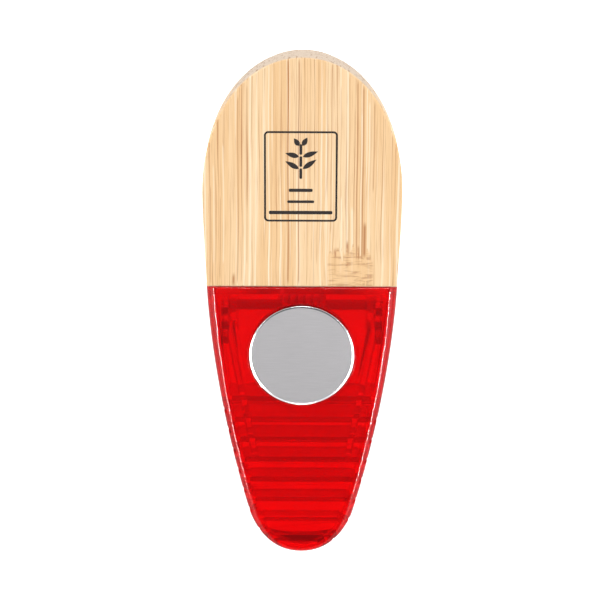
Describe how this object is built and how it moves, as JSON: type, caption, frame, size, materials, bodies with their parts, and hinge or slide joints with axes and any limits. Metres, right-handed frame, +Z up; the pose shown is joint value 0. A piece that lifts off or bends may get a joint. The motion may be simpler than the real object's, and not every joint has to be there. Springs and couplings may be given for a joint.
{
  "type": "magnetic bag clip",
  "caption": "Teardrop spring clip for bags and notes: two hinged levers, each a clear red ribbed jaw with a bamboo handle, and a disc magnet in the back.",
  "frame": {"origin": "on the surface that the clip lies on, under the middle of its bounding box", "axes": "+Z up from the flat outer face of the front lever, +Y from the jaws to the handles, +X along the hinge pin"},
  "size_m": [0.0372, 0.1004, 0.0451],
  "materials": {
    "red_plastic": "clear red moulded plastic, polished, see-through in thin sections",
    "bamboo": "pale sanded bamboo strips, matt, with straight grain",
    "screw_steel": "zinc plated",
    "pin_steel": "bright drawn steel",
    "spring_steel": "drawn spring wire",
    "brushed_cap": "finely brushed face with a polished rim",
    "ferrite": "dark sintered ferrite",
    "adhesive_foam": "white foam tape"
  },
  "bodies": {
    "front_lever": {"front_jaw_shell": "red_plastic", "front_bamboo_handle": "bamboo", "front_screw_left": "screw_steel", "front_screw_right": "screw_steel", "hinge_pin": "pin_steel", "torsion_spring": "spring_steel"},
    "back_lever": {"back_jaw_shell": "red_plastic", "back_bamboo_handle": "bamboo", "back_screw_left": "screw_steel", "back_screw_right": "screw_steel", "magnet_cap": "brushed_cap", "disc_magnet": "ferrite", "magnet_adhesive_pad": "adhesive_foam"}
  },
  "joints": [
    {"name": "jaw_hinge", "type": "hinge", "parent": "front_lever", "child": "back_lever", "pos_m": [0, -0.00157, 0.01301], "axis": [-1, 0, 0], "range_deg": [0, 26], "stiffness_Nm_per_rad": 0.27, "springref_deg": -74.48, "deforming": ["torsion_spring"]}
  ]
}
